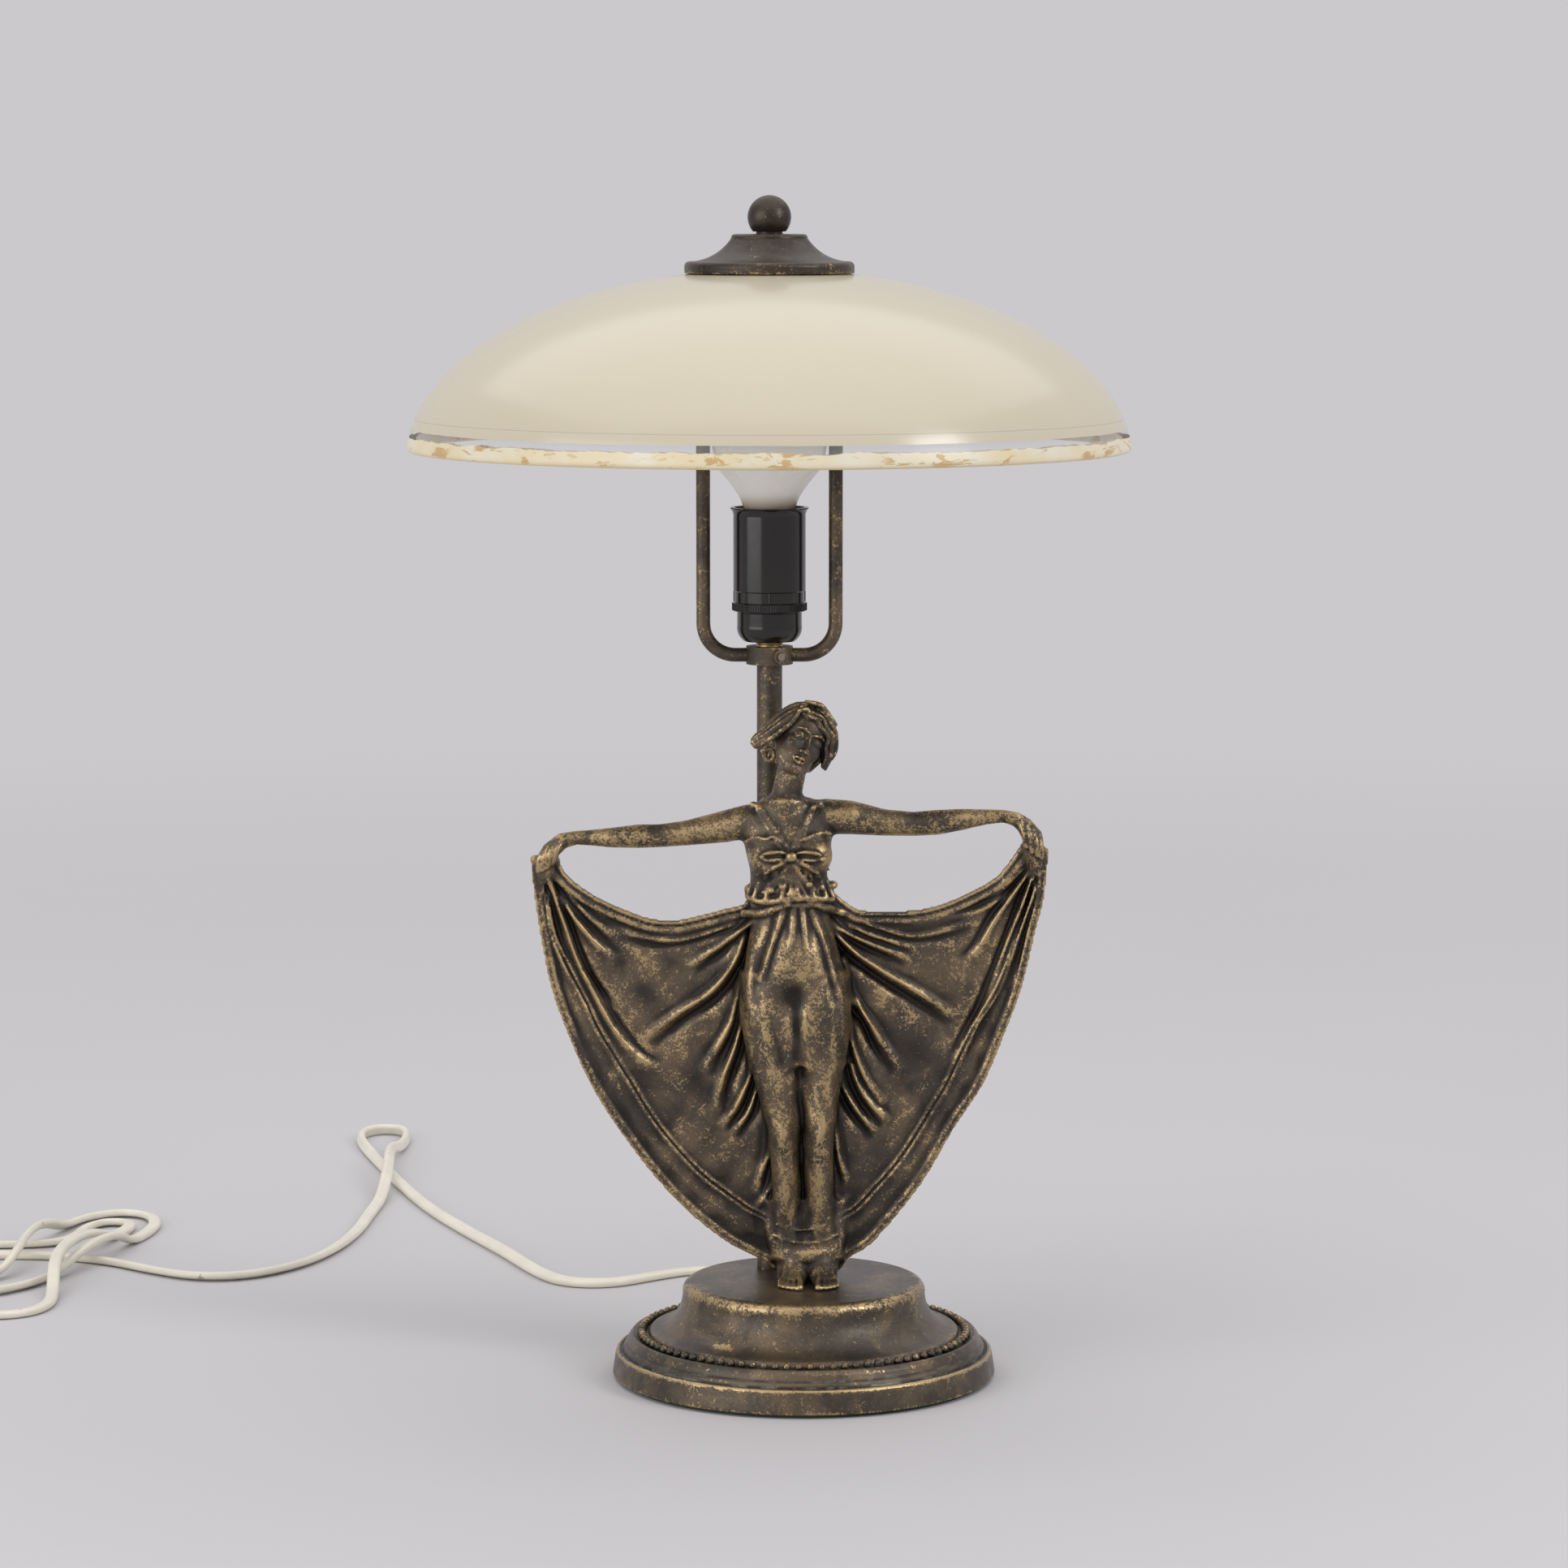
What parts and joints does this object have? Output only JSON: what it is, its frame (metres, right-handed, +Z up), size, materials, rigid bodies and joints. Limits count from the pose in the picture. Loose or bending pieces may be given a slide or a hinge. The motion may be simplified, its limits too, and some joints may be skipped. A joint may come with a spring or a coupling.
{
  "type": "table lamp",
  "caption": "Figural table lamp: a cast dancer holding out her skirt on a round beaded foot, before a stem with a bulb holder, harp, domed glass shade, cap and ball finial.",
  "frame": {"origin": "on the table, under the axis of the stem and the shade", "axes": "+Z up along the stem; the figure faces -Y; +X to the right as the viewer faces the figure"},
  "size_m": [0.5781, 0.6278, 0.4631],
  "materials": {
    "bronze": "cast, dark brown patina worn to brass on the edges",
    "dark_bronze": "spun and turned, smooth dark brown patina",
    "brass": "bare, dull",
    "steel": "zinc plated",
    "bakelite": "moulded, glossy, very dark brown",
    "ceramic": "glazed",
    "opal_glass": "cream outside, glossy, worn gilt border",
    "bulb_glass": "frosted",
    "clear_glass": "clear",
    "tungsten": "drawn wire",
    "rubber": "moulded",
    "felt": "pressed wool felt",
    "cord_white": "extruded, slightly yellowed",
    "white_plastic": "moulded"
  },
  "bodies": {
    "lamp": {"felt_pad": "felt", "base_casting": "bronze", "bottom_plate": "steel", "cover_screws": "steel", "cord_relief": "cord_white", "cord_clip": "steel", "cord_clip_screw": "steel", "stem_tube": "bronze", "stem_washer": "steel", "stem_nuts": "brass", "figure": "bronze", "figure_screws": "steel", "figure_washers": "steel", "harp_clamp_ring": "bronze", "harp_set_screw": "steel", "harp_left_rod": "bronze", "harp_right_rod": "bronze", "harp_saddle": "bronze", "shade_support": "dark_bronze", "support_gasket": "rubber", "shade_stud": "brass", "stud_nuts": "brass", "holder_cap": "bakelite", "holder_shell": "bakelite", "holder_insert": "ceramic", "holder_sleeve": "brass", "centre_contact": "brass", "terminal_screws": "brass", "switch_lower_half": "white_plastic", "switch_upper_half": "white_plastic", "switch_screws": "steel", "switch_pivot": "steel", "switch_contacts": "brass", "inner_cord": "cord_white", "cord_cores": "brass", "lamp_cord": "cord_white", "cord_coil": "cord_white", "coil_lead": "cord_white", "coil_tail": "cord_white", "plug_body": "white_plastic", "plug_pins": "brass"},
    "shade": {"shade_glass": "opal_glass"},
    "cap": {"cap": "dark_bronze", "cap_gasket": "rubber"},
    "finial_washer": {"finial_washer": "dark_bronze"},
    "finial": {"finial": "dark_bronze"},
    "bulb": {"bulb_glass": "bulb_glass", "bulb_cap": "brass", "bulb_insulator": "ceramic", "bulb_contact": "brass", "bulb_mount": "clear_glass", "filament": "tungsten"},
    "switch_rocker": {"switch_rocker": "white_plastic"}
  },
  "joints": [
    {"name": "shade_lift", "type": "slide", "parent": "lamp", "child": "shade", "axis": [0, 0, 1], "range_m": [0, 0.12]},
    {"name": "cap_lift", "type": "slide", "parent": "shade", "child": "cap", "axis": [0, 0, 1], "range_m": [0, 0.06]},
    {"name": "finial_rise", "type": "slide", "parent": "cap", "child": "finial_washer", "axis": [0, 0, 1], "range_m": [0, 0.009]},
    {"name": "finial_turn", "type": "hinge", "parent": "finial_washer", "child": "finial", "pos_m": [0, 0, 0.449], "axis": [0, 0, 1], "range_deg": [0, 3240]},
    {"name": "bulb_rise", "type": "slide", "parent": "lamp", "child": "bulb", "axis": [0, 0, 1], "range_m": [0, 0.022]},
    {"name": "rocker_tilt", "type": "hinge", "parent": "lamp", "child": "switch_rocker", "pos_m": [-0.385, 0.078, 0.015], "axis": [0, 1, 0], "range_deg": [-20, 0]}
  ],
  "couplings": [
    {"joint": "finial_rise", "follows": "finial_turn", "m_per_rad": 0.00015915}
  ]
}
